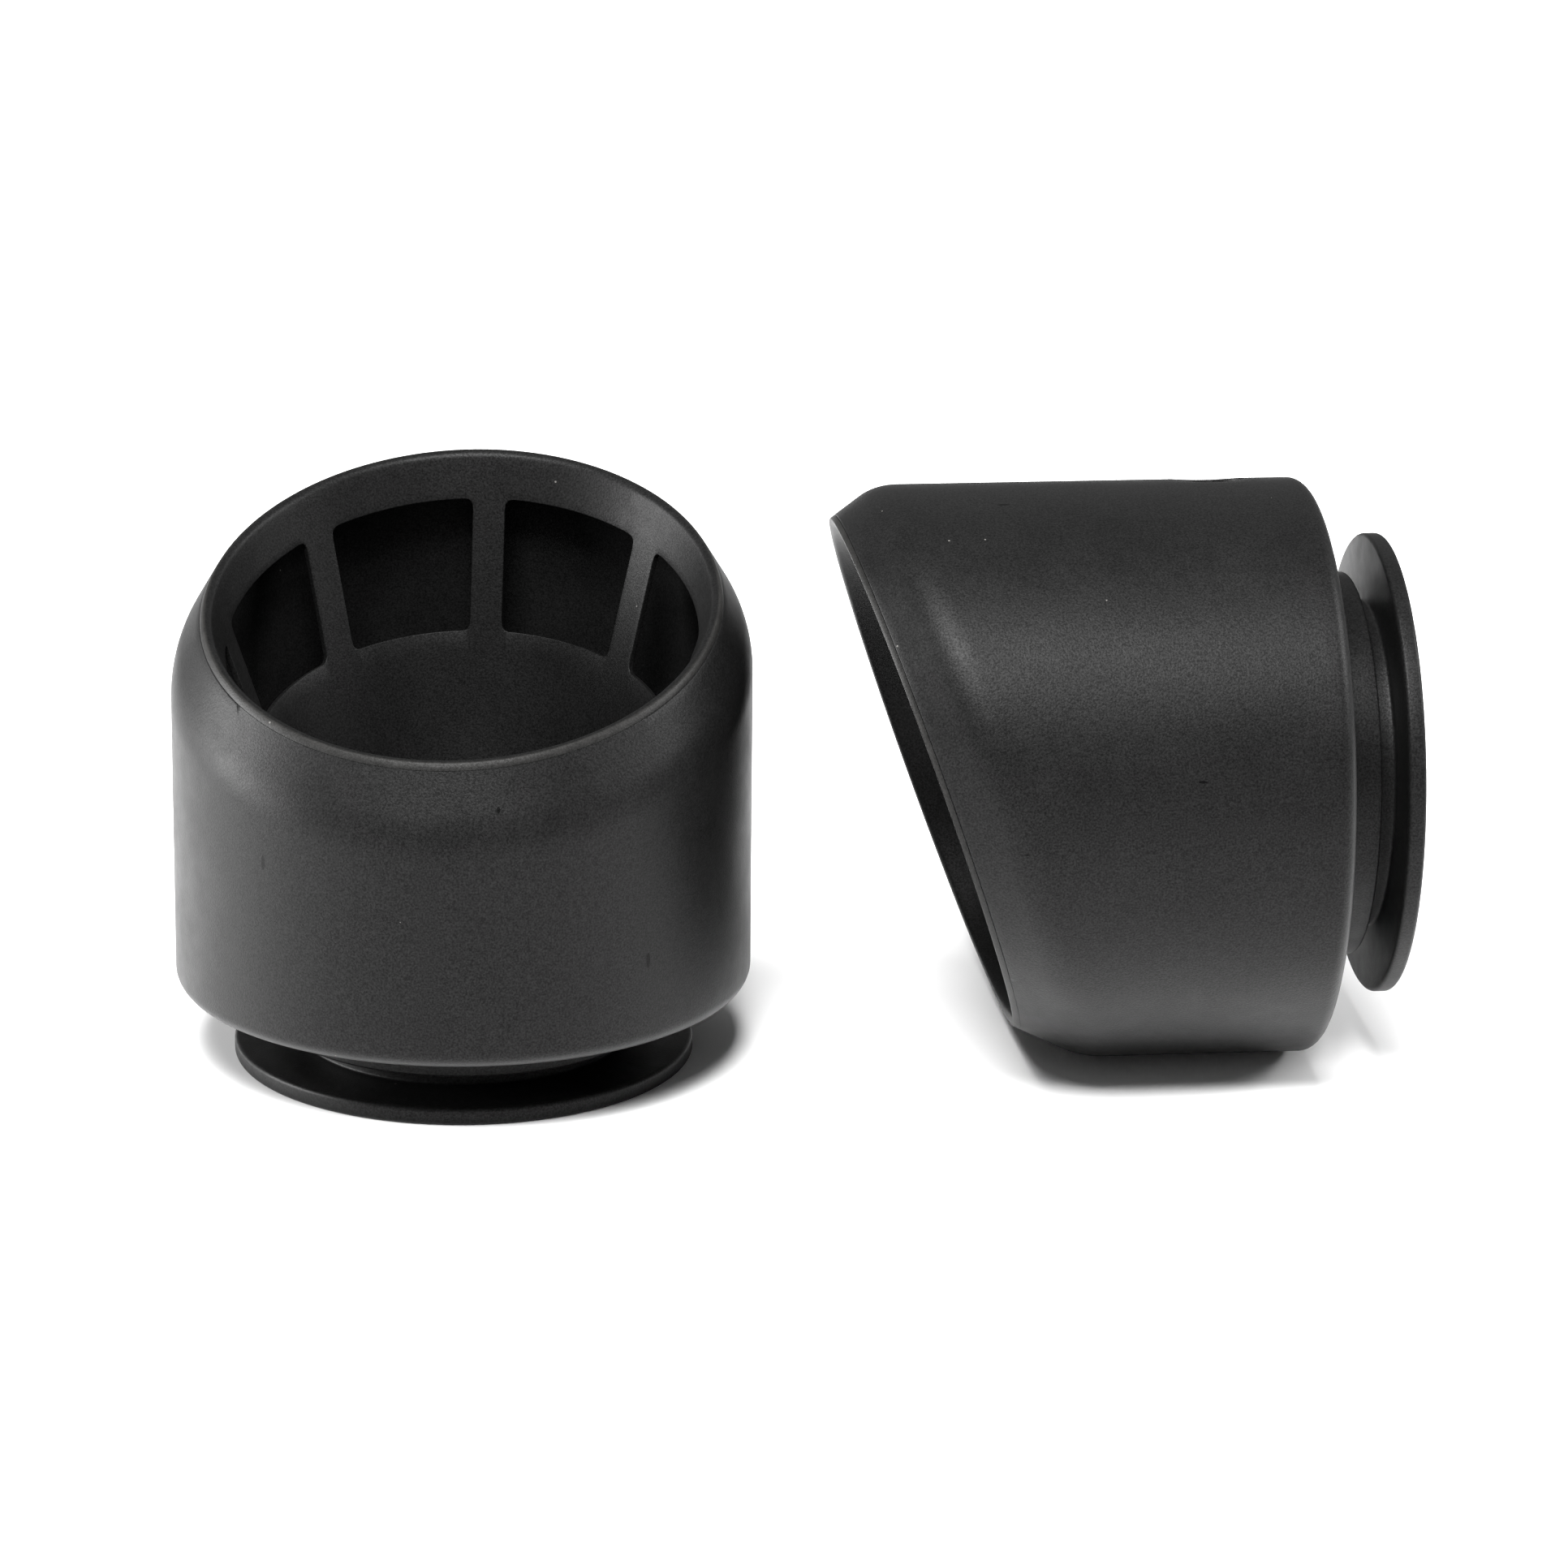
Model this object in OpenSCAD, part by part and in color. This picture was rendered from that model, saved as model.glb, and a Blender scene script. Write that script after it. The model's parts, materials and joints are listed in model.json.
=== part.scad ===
// A pair of hood cups: round cups with a slanted mouth, a windowed inner funnel and a grooved
// base. One cup stands on its flange and the other lies on its side next to it.
// Every cup is modelled upright, with its axis on Z, its flange on Z = 0 and its long side at +Y.

/* [Hood] */
// Outer diameter of the hood
hood_d = 60; // [52:1:80]
// Height of the mouth's centre above the underside of the flange
mouth_h = 48.6; // [44:0.2:60]
// Slant of the mouth, in degrees
mouth_tilt = 19; // [10:1:22]
// Thickness of the hood's wall
hood_wall = 1.2; // [0.8:0.1:1.6]
// Thickness of the plate that closes the hood
hood_floor = 2; // [1.5:0.1:3]
// Thickness of the hood's wall beside the plate
foot_wall = 2.2; // [1.8:0.1:3]
// Radius of the round edge at the foot of the hood's wall
hood_base_round = 1.6; // [0.5:0.1:2.5]
// Radius of the curve where the wall turns into the shoulder
shoulder_round = 8.5; // [4:0.5:12]
// Slope of the shoulder just under the mouth, in degrees from the wall
shoulder_slope = 30; // [20:1:40]

/* [Funnel] */
// Width of the lip around the mouth
lip_w = 0.8; // [0.6:0.1:1.4]
// Outer diameter of the lip, seen along the cup's axis
lip_d = 53.2; // [50:0.2:54]
// Thickness of the funnel's wall and of the lip
funnel_wall = 0.6; // [0.5:0.1:1]
// Inner diameter at the bottom of the funnel
funnel_floor_d = 25.4; // [20:0.2:30]
// Number of windows around the funnel
window_count = 8; // [6:1:10]
// Width of the ribs between the windows
rib_w = 3.4; // [2:0.2:6]
// Distance of the windows below the mouth
window_drop = 4.2; // [3:0.2:6]
// Height of the lower window edges on the cup's axis
window_low_h = 34.2; // [31:0.2:36]
// Slant of the lower window edges, in degrees
window_low_tilt = 14; // [0:1:19]
// Radius of the windows' corners
window_corner_r = 0.8; // [0.4:0.1:1.5]

/* [Base] */
// Diameter of the collar under the hood
collar_d = 40; // [36:1:46]
// Height of the collar, up to the hood's lower edge
collar_h = 4.35; // [3:0.05:6]
// Gap between the collar and the flange
groove_h = 1.95; // [1.5:0.05:3]
// Diameter of the neck inside the groove
neck_d = 34; // [26:1:35]
// Diameter of the flange
flange_d = 48; // [44:1:52]
// Thickness of the flange
flange_t = 1.85; // [1.6:0.05:3]
// Radius of the flange's edges
flange_round = 0.45; // [0.2:0.05:0.7]

/* [Side port] */
// Diameter of the round port in the hood's wall
port_d = 7.6; // [4:0.2:10]
// Height of the port's centre above the hood's lower edge
port_rise = 9.9; // [7:0.1:12]
// Turn of the port from the middle of the long side, in degrees
port_turn = 7.5; // [0:0.25:60]

/* [Screw] */
// Thread diameter of the centre screw
screw_d = 4; // [3:0.5:5]
// Diameter of the screw's countersunk head
screw_head_d = 8; // [7:0.5:9]
// Length of the screw
screw_l = 13; // [11:0.5:14]
// Width across the corners of the screw's hexagon socket
socket_d = 2.8; // [2:0.1:3]

/* [Placing] */
// Turn of the standing cup's long side towards the lying cup, in degrees
stand_turn = 4; // [0:1:20]
// Turn of the lying cup's axis from the X axis, in degrees
lie_turn = 6.3; // [0:0.1:12]
// Roll of the lying cup's long side from the top to the front, in degrees. Below 0 it is to the back.
lie_roll = -5.8; // [-20:0.2:20]
// Distance between the standing cup's axis and the lower edge of the lying cup's hood
pair_x = 87.75; // [86:0.05:120]
// How far behind the standing cup's axis the lower edge of the lying cup's hood is
pair_y = 6.4; // [0:0.1:15]

/* [Hidden] */

$fn = 96;
charcoal = "#34353a";
dark_charcoal = "#2a2b2f";
black_steel = "#1c1c1e";

hood_r = hood_d / 2;
lip_r = lip_d / 2;
mouth_r = lip_r - lip_w;
collar_top = flange_t + groove_h + collar_h;
floor_top = collar_top + hood_floor;
mouth_slope = tan(mouth_tilt);
low_slope = tan(window_low_tilt);

// The shoulder: a curve that leaves the wall, then a straight slope up to the lip
shoulder_curve_h = shoulder_round * sin(shoulder_slope);
shoulder_curve_in = shoulder_round * (1 - cos(shoulder_slope));
shoulder_h = shoulder_curve_h + (hood_r - lip_r - shoulder_curve_in) / tan(shoulder_slope);

// The funnel's lip rests on the hood's mouth, which is a little wider than the funnel
rest_h = mouth_h - funnel_wall;
fit_gap = 0.05;
hood_mouth_r = mouth_r + funnel_wall + fit_gap;
funnel_floor_r = funnel_floor_d / 2;
boss_r = 5;
boss_h = 6;
clear_r = screw_d / 2 + 0.25;
thread_gap = 0.02;
head_cone_h = (screw_head_d - screw_d) / 2;
head_sink = 0.4;
socket_depth = 2;
port_z = collar_top + port_rise;
skin_gap = 0.02;
land_h = 0.3;
far = 200;

// Where the pair's own middle is, seen from the standing cup's axis
pair_mid = [34.22, 3.02];

// A skin through rings that are round in plan. Each ring is [radius, height on the axis, slope].
function ring_points(ring) =
    [for (k = [0 : $fn - 1]) let (a = 360 * k / $fn)
        [ring[0] * cos(a), ring[0] * sin(a), ring[1] + ring[2] * ring[0] * sin(a)]];

module ring_skin(rings) {
    n = $fn;
    last = len(rings) - 1;
    sides = [for (j = [0 : last - 1], k = [0 : n - 1])
        let (low = j * n + k, next = j * n + (k + 1) % n)
        each [[low, low + n, next + n], [low, next + n, next]]];
    polyhedron(points = [for (ring = rings) each ring_points(ring)],
               faces = concat([[for (k = [0 : n - 1]) k]], sides,
                              [[for (k = [n - 1 : -1 : 0]) last * n + k]]));
}

// Everything above a plane that crosses the axis at height h with the mouth's slant
module above_mouth_plane(h) {
    translate([0, 0, h]) rotate([mouth_tilt, 0, 0])
        translate([-far / 2, -far / 2, 0]) cube([far, far, far]);
}

// The shoulder's outer form. Its lowest rings are wider than the wall, so the wall stays round.
module shoulder_form() {
    steps = 4;
    ring_skin(concat(
        [[hood_r + 1, -far / 8, 0]],
        [for (k = [0 : steps]) let (a = shoulder_slope * k / steps)
            [hood_r + skin_gap - shoulder_round * (1 - cos(a)),
             mouth_h - shoulder_h + shoulder_round * sin(a), mouth_slope]],
        [[lip_r, mouth_h, mouth_slope]]));
}

// The space inside the hood, which follows the wall and then narrows to the mouth
module hood_space() {
    intersection() {
        translate([0, 0, floor_top]) cylinder(h = 2 * mouth_h, r = hood_r - hood_wall);
        ring_skin([[hood_r, -far / 8, 0],
                   [hood_r - hood_wall + skin_gap, mouth_h - shoulder_h, mouth_slope],
                   [hood_mouth_r, rest_h - land_h, mouth_slope],
                   [hood_mouth_r, mouth_h + 1, mouth_slope]]);
    }
}

// The hood's outer form before the shoulder is cut
module hood_turned() {
    rotate_extrude() {
        translate([0, collar_top]) square([hood_r - hood_base_round, 2 * mouth_h]);
        translate([0, collar_top + hood_base_round]) square([hood_r, 2 * mouth_h]);
        translate([hood_r - hood_base_round, collar_top + hood_base_round])
            circle(r = hood_base_round);
    }
}

module hood() {
    difference() {
        intersection() {
            hood_turned();
            shoulder_form();
        }
        hood_space();
        above_mouth_plane(rest_h);
        translate([0, 0, collar_top]) cylinder(h = 4 * hood_floor, r = hood_r - foot_wall, center = true);
        rotate([0, 0, port_turn]) translate([0, 0, port_z]) rotate([-90, 0, 0])
            cylinder(h = hood_r + 1, d = port_d);
    }
}

// The plate that closes the hood from below, with the collar under it
module plate() {
    difference() {
        rotate_extrude() {
            translate([0, collar_top - collar_h]) square([collar_d / 2, collar_h + 1]);
            translate([0, collar_top]) square([hood_r - foot_wall - fit_gap, hood_floor]);
        }
        translate([0, 0, collar_top]) cylinder(h = 4 * collar_h, r = clear_r, center = true);
    }
}

// The funnel's form: it runs from a slanted ring at the mouth to a level ring at the floor.
// It goes straight up through the mouth, by the height over.
module funnel_form(top_r, floor_r, floor_h, over) {
    ring_skin([[floor_r, floor_h, 0], [top_r, mouth_h - land_h, mouth_slope],
               [top_r, mouth_h + over, mouth_slope]]);
}

// Where the funnel's side at the turn a meets a plane at height h on the axis with slope s.
// The answer is [radius, height].
function side_top(a) = mouth_h + mouth_slope * mouth_r * cos(a);
function side_share(a, h, s) =
    (side_top(a) - h - s * cos(a) * mouth_r)
    / (side_top(a) - floor_top + s * cos(a) * (funnel_floor_r - mouth_r));
function side_point(a, h, s) =
    let (u = side_share(a, h, s))
    [mouth_r + (funnel_floor_r - mouth_r) * u, side_top(a) + (floor_top - side_top(a)) * u];

// A corner of a window, flattened along the window's own middle direction.
// side is -1 or 1, and the rib beside it keeps its width.
function window_corner(mid, side, h, s) =
    let (half = 180 / window_count, rough = side_point(mid + side * half, h, s),
         turn = side * (half - asin(rib_w / 2 / rough[0])),
         p = side_point(mid + turn, h, s))
    [p[0] * sin(turn), p[1]];

// A corner of an outline rounded with radius r, between the points before and after it
function unit(v) = v / norm(v);
function round_corner(before, p, after, r) =
    let (d1 = unit(before - p), d2 = unit(after - p), half = acos(d1 * d2) / 2,
         middle = p + unit(d1 + d2) * r / sin(half),
         start = p + d1 * r / tan(half) - middle, end = p + d2 * r / tan(half) - middle)
    [for (k = [0 : 4]) middle + r * unit(start * (4 - k) + end * k)];

module window_outline(mid) {
    top_h = mouth_h - window_drop;
    corners = [window_corner(mid, -1, window_low_h, low_slope),
               window_corner(mid, 1, window_low_h, low_slope),
               window_corner(mid, 1, top_h, mouth_slope),
               window_corner(mid, -1, top_h, mouth_slope)];
    polygon([for (i = [0 : 3]) each
        round_corner(corners[(i + 3) % 4], corners[i], corners[(i + 1) % 4], window_corner_r)]);
}

module funnel() {
    difference() {
        union() {
            difference() {
                funnel_form(mouth_r + funnel_wall, funnel_floor_r + funnel_wall, floor_top, 1);
                funnel_form(mouth_r, funnel_floor_r, floor_top + funnel_wall, 2);
            }
            lip();
            translate([0, 0, floor_top]) cylinder(h = boss_h, r = boss_r);
        }
        // the first window's middle is half a step from the long side
        for (i = [0 : window_count - 1])
            rotate([0, 0, -(i + 0.5) * 360 / window_count]) rotate([-90, 0, 0])
                mirror([0, 1, 0]) linear_extrude(height = hood_r)
                    window_outline((i + 0.5) * 360 / window_count);
        translate([0, 0, floor_top - 1]) cylinder(h = boss_h, r = screw_d / 2 + thread_gap);
        above_mouth_plane(mouth_h);
    }
}

// The ring around the mouth, which rests on the hood. The funnel is trimmed at the mouth.
module lip() {
    difference() {
        translate([0, 0, floor_top]) cylinder(h = 2 * mouth_h, r = lip_r);
        translate([0, 0, floor_top - 1])
            cylinder(h = 2 * mouth_h + 2, r = mouth_r + funnel_wall / 2);
        translate([0, 0, rest_h]) rotate([mouth_tilt, 0, 0])
            translate([-far / 2, -far / 2, -far]) cube([far, far, far]);
    }
}

module foot() {
    difference() {
        rotate_extrude() {
            square([flange_d / 2 - flange_round, flange_t]);
            translate([0, flange_round]) square([flange_d / 2, flange_t - 2 * flange_round]);
            for (y = [flange_round, flange_t - flange_round])
                translate([flange_d / 2 - flange_round, y]) circle(r = flange_round);
            square([neck_d / 2, flange_t + groove_h]);
        }
        translate([0, 0, -1]) cylinder(h = flange_t + groove_h + 2, r = clear_r);
        translate([0, 0, head_sink]) cylinder(h = head_cone_h, r1 = screw_head_d / 2, r2 = screw_d / 2);
        translate([0, 0, -1]) cylinder(h = 1 + head_sink, r = screw_head_d / 2);
    }
}

module screw() {
    difference() {
        union() {
            translate([0, 0, head_sink])
                cylinder(h = head_cone_h, r1 = screw_head_d / 2, r2 = screw_d / 2);
            translate([0, 0, head_sink]) cylinder(h = screw_l, r = screw_d / 2);
        }
        cylinder(h = head_sink + socket_depth, r = socket_d / 2, $fn = 6);
    }
}

module standing() {
    translate([-pair_mid[0], -pair_mid[1], 0]) rotate([0, 0, -stand_turn]) children();
}

// The lying cup rests on its hood's wall, mouth towards the standing cup and long side up
module lying() {
    translate([pair_x - pair_mid[0], pair_y - pair_mid[1], hood_r])
        rotate([0, 0, lie_turn]) rotate([lie_roll, 0, 0]) rotate([90, 0, -90])
            translate([0, 0, -collar_top]) children();
}

color(charcoal) standing() hood();  // standing_hood
color(charcoal) standing() plate();  // standing_plate
color(dark_charcoal) standing() funnel();  // standing_funnel
color(charcoal) standing() foot();  // standing_foot
color(black_steel) standing() screw();  // standing_screw
color(charcoal) lying() hood();  // lying_hood
color(charcoal) lying() plate();  // lying_plate
color(dark_charcoal) lying() funnel();  // lying_funnel
color(charcoal) lying() foot();  // lying_foot
color(black_steel) lying() screw();  // lying_screw
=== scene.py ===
"""A pair of hood cups with windowed funnels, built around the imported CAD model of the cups.

Each cup is made upright in its own frame, with its axis on Z, its flange on the floor and its
long side at +Y, and is then put where the CAD model has it. All sizes are in metres.
"""

import json
import math

import bmesh
import bpy
from bpy.props import FloatProperty, FloatVectorProperty, IntProperty, PointerProperty, StringProperty
from mathutils import Matrix, Vector


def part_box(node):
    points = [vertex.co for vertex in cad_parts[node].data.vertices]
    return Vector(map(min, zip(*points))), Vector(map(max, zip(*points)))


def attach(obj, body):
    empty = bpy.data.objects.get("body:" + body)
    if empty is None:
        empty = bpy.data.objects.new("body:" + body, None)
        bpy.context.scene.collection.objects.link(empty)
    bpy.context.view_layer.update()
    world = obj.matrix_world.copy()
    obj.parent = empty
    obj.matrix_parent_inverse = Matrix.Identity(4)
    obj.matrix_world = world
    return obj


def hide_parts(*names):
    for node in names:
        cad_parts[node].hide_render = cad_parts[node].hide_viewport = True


bl_info = {
    "name": "Hood Cups",
    "version": (1, 0, 0),
    "blender": (4, 5, 0),
    "location": "3D View > Sidebar > Hood Cups",
    "description": "A pair of hood cups with windowed funnels and grooved feet, and a studio",
    "category": "Object",
}

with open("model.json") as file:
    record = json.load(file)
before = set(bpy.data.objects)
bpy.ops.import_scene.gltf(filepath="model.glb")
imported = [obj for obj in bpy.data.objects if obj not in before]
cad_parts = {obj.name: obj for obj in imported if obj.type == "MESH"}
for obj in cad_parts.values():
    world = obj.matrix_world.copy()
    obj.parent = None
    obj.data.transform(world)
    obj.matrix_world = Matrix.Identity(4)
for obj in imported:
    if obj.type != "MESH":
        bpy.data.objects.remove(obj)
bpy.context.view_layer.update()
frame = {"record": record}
MOUNTS = {mount["name"]: mount for mount in frame["record"]["mounts"]}

MM = 0.001
CUPS = ("standing", "lying")
BOX_SLACK = 0.4 * MM

# The rings on each side of the port's middle that are drawn in, those inside its edge, and the
# distance between them
PORT_REACH = 8
PORT_HOLE = 4
PORT_STEP = 0.9 * MM

# Play of the screw in the plate and the foot, gap between fitted pieces, and height of the
# straight land at the hood's mouth
SCREW_PLAY = 0.25 * MM
FIT_GAP = 0.05 * MM
MOUTH_LAND = 0.3 * MM
HOOD_EDGE_ROUND = 0.14 * MM
SHARP_ANGLE = math.radians(40)


# ---------------------------------------------------------------- sizes and colours


def length(name, description, size):
    """A length that a user can change, with its default given in millimetres."""
    return FloatProperty(name=name, description=description, default=size * MM, unit="LENGTH")


def angle(name, description, degrees):
    """An angle that a user can change, with its default given in degrees."""
    return FloatProperty(name=name, description=description, default=math.radians(degrees),
                         subtype="ANGLE")


def colour(name, description, hex_value):
    """A colour that a user can change, as an sRGB hex value."""
    return StringProperty(name=name, description=description, default=hex_value)


def power(name, description, watts):
    """A lamp's power that a user can change, with its default in watts."""
    return FloatProperty(name=name, description=description, default=watts, unit="POWER")


class HoodSizes(bpy.types.PropertyGroup):
    """The hood: a round shell with a slanted mouth, closed by a plate with a collar under it"""

    diameter: length("Diameter", "Outer diameter of the hood", 60)
    mouth_height: length(
        "Mouth height", "Height of the mouth's centre above the flange's underside", 48.6)
    mouth_tilt: angle("Mouth tilt", "Slant of the mouth", 19)
    wall: length("Wall", "Thickness of the wall", 1.2)
    floor: length("Floor", "Thickness of the plate that closes the hood", 2)
    foot_wall: length("Foot wall", "Thickness of the wall beside the plate", 2.2)
    base_round: length("Base round", "Radius of the edge at the foot of the wall", 1.6)
    shoulder_round: length("Shoulder round", "Radius of the curve from the wall into the shoulder",
                           8.5)
    shoulder_slope: angle("Shoulder slope", "Slope of the shoulder under the mouth, from the wall",
                          30)
    port_rise: length("Port rise", "Height of the port above the hood's lower edge", 9.9)
    port_turn: angle("Port turn", "Turn of the port from the middle of the long side", 7.5)
    segments: IntProperty(
        name="Segments", description="Faces round the hood, a multiple of 12", default=192, min=48)


class FunnelSizes(bpy.types.PropertyGroup):
    """The funnel: a windowed inner cone that hangs from a lip around the mouth"""

    lip_width: length("Lip width", "Width of the lip around the mouth", 0.8)
    lip_diameter: length("Lip diameter", "Outer diameter of the lip, seen along the axis", 53.2)
    lip_round: length("Lip round", "How far the lip's inner edge is rounded off", 0.5)
    wall: length("Wall", "Thickness of the funnel and of its lip", 0.6)
    floor_diameter: length("Floor diameter", "Inner diameter at the bottom of the funnel", 25.4)
    windows: IntProperty(
        name="Windows", description="Number of windows around the funnel", default=8, min=6)
    rib_width: length("Rib width", "Width of the ribs between the windows", 3.4)
    window_drop: length("Window drop", "Distance of the windows below the mouth", 4.2)
    window_low: length("Lower edge", "Height of the windows' lower edges on the axis", 34.2)
    window_low_tilt: angle("Lower tilt", "Slant of the windows' lower edges", 14)
    boss_radius: length("Boss radius", "Radius of the boss that takes the screw", 5)
    boss_height: length("Boss height", "Height of the boss", 6)
    edge_round: length("Edge round", "Width of the rounding on the windows' edges", 0.09)


class BaseSizes(bpy.types.PropertyGroup):
    """The grooved base: collar, neck and flange, and the screw that holds them"""

    collar_diameter: length("Collar diameter", "Diameter of the collar under the hood", 40)
    collar_height: length("Collar height", "Height of the collar", 4.35)
    groove_height: length("Groove height", "Gap between the collar and the flange", 1.95)
    neck_diameter: length("Neck diameter", "Diameter of the neck inside the groove", 34)
    flange_diameter: length("Flange diameter", "Diameter of the flange", 48)
    flange_thickness: length("Flange thickness", "Thickness of the flange", 1.85)
    flange_round: length("Flange round", "Radius of the flange's edges", 0.45)
    screw_diameter: length("Screw diameter", "Thread diameter of the screw", 4)
    screw_head: length("Screw head", "Diameter of the screw's head", 8)
    screw_length: length("Screw length", "Length of the screw", 13)
    thread_pitch: length("Thread pitch", "Rise of the thread in one turn", 0.7)
    head_sink: length("Head sink", "Depth of the screw's head below the flange's underside", 0.4)
    socket: length("Socket", "Width across the corners of the hexagon socket", 2.8)


class Finishes(bpy.types.PropertyGroup):
    """Colours of the finishes, as sRGB hex values"""

    body: colour("Body", "Charcoal of the hood and the foot", "#0c0c0c")
    body_cloud: colour("Body clouds", "The charcoal's lighter clouds", "#0f0f0f")
    funnel: colour("Funnel", "Charcoal of the funnel", "#0b0b0b")
    funnel_cloud: colour("Funnel clouds", "The funnel's lighter clouds", "#0d0d0d")
    # dust specks use this colour, and a thin share of it paints the lip's outer edge paler, partly as
    # wear and partly as a painted highlight
    dust: colour("Dust", "Dust and worn edges", "#8a8884")
    scuff: colour("Scuffs", "Dark scuffs", "#040404")
    steel: colour("Screw steel", "Black oxide on the screw", "#17171a")
    steel_worn: colour("Worn steel", "Steel where the black oxide is thin", "#3b3a3a")
    stage: colour("Floor", "The pale floor", "#f4f4f4")


class Studio(bpy.types.PropertyGroup):
    """Camera and softboxes"""

    camera_place: FloatVectorProperty(
        name="Camera", description="Where the camera stands", subtype="TRANSLATION",
        default=(-0.9 * MM, -654.3 * MM, 237.8 * MM))
    camera_dip: angle("Camera dip", "How far the camera looks down", 17.76)
    camera_roll: angle("Camera roll", "Turn of the camera about its own axis", 0.6)
    lens: FloatProperty(
        name="Lens", description="Focal length in millimetres, for a sensor 36 mm wide",
        default=151.33)
    top_light: power("Top softbox", "Power of the softbox overhead", 31)
    side_light: power("Side softbox", "Power of the softbox at the left", 13)
    right_light: power("Right softbox", "Power of the softbox at the right", 8)


class HoodCups(bpy.types.PropertyGroup):
    """All sizes and colours of the cups and their studio"""

    hood: PointerProperty(type=HoodSizes)
    funnel: PointerProperty(type=FunnelSizes)
    base: PointerProperty(type=BaseSizes)
    finishes: PointerProperty(type=Finishes)
    studio: PointerProperty(type=Studio)


# ---------------------------------------------------------------- small helpers


def linear(hex_colour):
    """Turns an sRGB hex colour into the linear colour, with alpha, that shaders use."""
    parts = [int(hex_colour[i:i + 2], 16) / 255 for i in (1, 3, 5)]
    return (*(p / 12.92 if p <= 0.04045 else ((p + 0.055) / 1.055) ** 2.4 for p in parts), 1)


def add_node(tree, kind, inputs=None, **settings):
    """Adds a node, sets its properties, and sets or links its inputs by name or number."""
    node = tree.nodes.new(kind)
    for key, value in settings.items():
        setattr(node, key, value)
    for key, value in (inputs or {}).items():
        if isinstance(value, bpy.types.NodeSocket):
            tree.links.new(value, node.inputs[key])
        else:
            node.inputs[key].default_value = value
    return node


def steps(start, end, count):
    """Values from start to end in count even steps, without start itself."""
    return [start + (end - start) * k / count for k in range(1, count + 1)]


def arc(centre, radius, start, end, count):
    """Points (radius, height) along an arc; the angles are in degrees from the radial direction."""
    turns = [math.radians(start + (end - start) * k / count) for k in range(count + 1)]
    return [(centre[0] + radius * math.cos(t), centre[1] + radius * math.sin(t)) for t in turns]


def line(start, end, count):
    """Points (radius, height) from start to end, without start itself."""
    return list(zip(steps(start[0], end[0], count), steps(start[1], end[1], count)))


def level(points):
    """Rings [radius, slope, height] without a slope, for points (radius, height)."""
    return [(radius, 0, height) for radius, height in points]


def cup_place(cup):
    """Where a cup stands, worked out from the CAD model's mounts on its groove and its port."""
    sizes = bpy.context.scene.hood_cups
    groove, port = MOUNTS[cup + "_groove"], MOUNTS[cup + "_port"]
    up = -Vector(groove["axis"]).normalized()
    outwards = Vector(port["axis"])
    outwards = (outwards - up * outwards.dot(up)).normalized()
    long_side = Matrix.Rotation(-sizes.hood.port_turn, 3, up) @ outwards
    turn = Matrix((long_side.cross(up), long_side, up)).transposed()
    groove_middle = sizes.base.flange_thickness + sizes.base.groove_height / 2
    origin = Vector(groove["pos_m"]) - up * groove_middle
    return Matrix.Translation(origin) @ turn.to_4x4()


def evaluated_mesh(obj):
    """The object's mesh with its modifiers applied, after which the modifiers are removed."""
    view = bpy.context.evaluated_depsgraph_get()
    mesh = bpy.data.meshes.new_from_object(obj.evaluated_get(view), depsgraph=view)
    obj.modifiers.clear()
    return mesh


def tree_result(mesh, tree, inputs):
    """Runs a Geometry Nodes tree on a mesh with the named inputs and returns the new mesh."""
    carrier = bpy.data.objects.new("carrier", mesh)
    bpy.context.scene.collection.objects.link(carrier)
    modifier = carrier.modifiers.new("tree", "NODES")
    modifier.node_group = tree
    for item in tree.interface.items_tree:
        if item.in_out == "INPUT" and item.name in inputs:
            modifier[item.identifier] = inputs[item.name]
    carrier.update_tag()
    made = evaluated_mesh(carrier)
    bpy.data.objects.remove(carrier)
    return made


def rounded(mesh, width, limit):
    """Rounds the mesh's edges that are sharper than the limit, in degrees."""
    carrier = bpy.data.objects.new("carrier", mesh)
    bpy.context.scene.collection.objects.link(carrier)
    bevel = carrier.modifiers.new("round", "BEVEL")
    bevel.width = width
    bevel.segments = 3
    bevel.angle_limit = math.radians(limit)
    bevel.harden_normals = False
    made = evaluated_mesh(carrier)
    bpy.data.objects.remove(carrier)
    return made


def editable(mesh):
    """The mesh as a bmesh that can be edited."""
    bm = bmesh.new()
    bm.from_mesh(mesh)
    return bm


def finish_mesh(bm, name):
    """Merges doubles, points the faces outwards, raises on open edges and returns the mesh."""
    bmesh.ops.remove_doubles(bm, verts=bm.verts, dist=0.002 * MM)
    bmesh.ops.recalc_face_normals(bm, faces=bm.faces)
    open_edges = sum(not edge.is_manifold for edge in bm.edges)
    if open_edges:
        raise RuntimeError(f"{name} has {open_edges} edges that aren't closed")
    mesh = bpy.data.meshes.new(name)
    bm.to_mesh(mesh)
    bm.free()
    return mesh


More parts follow.
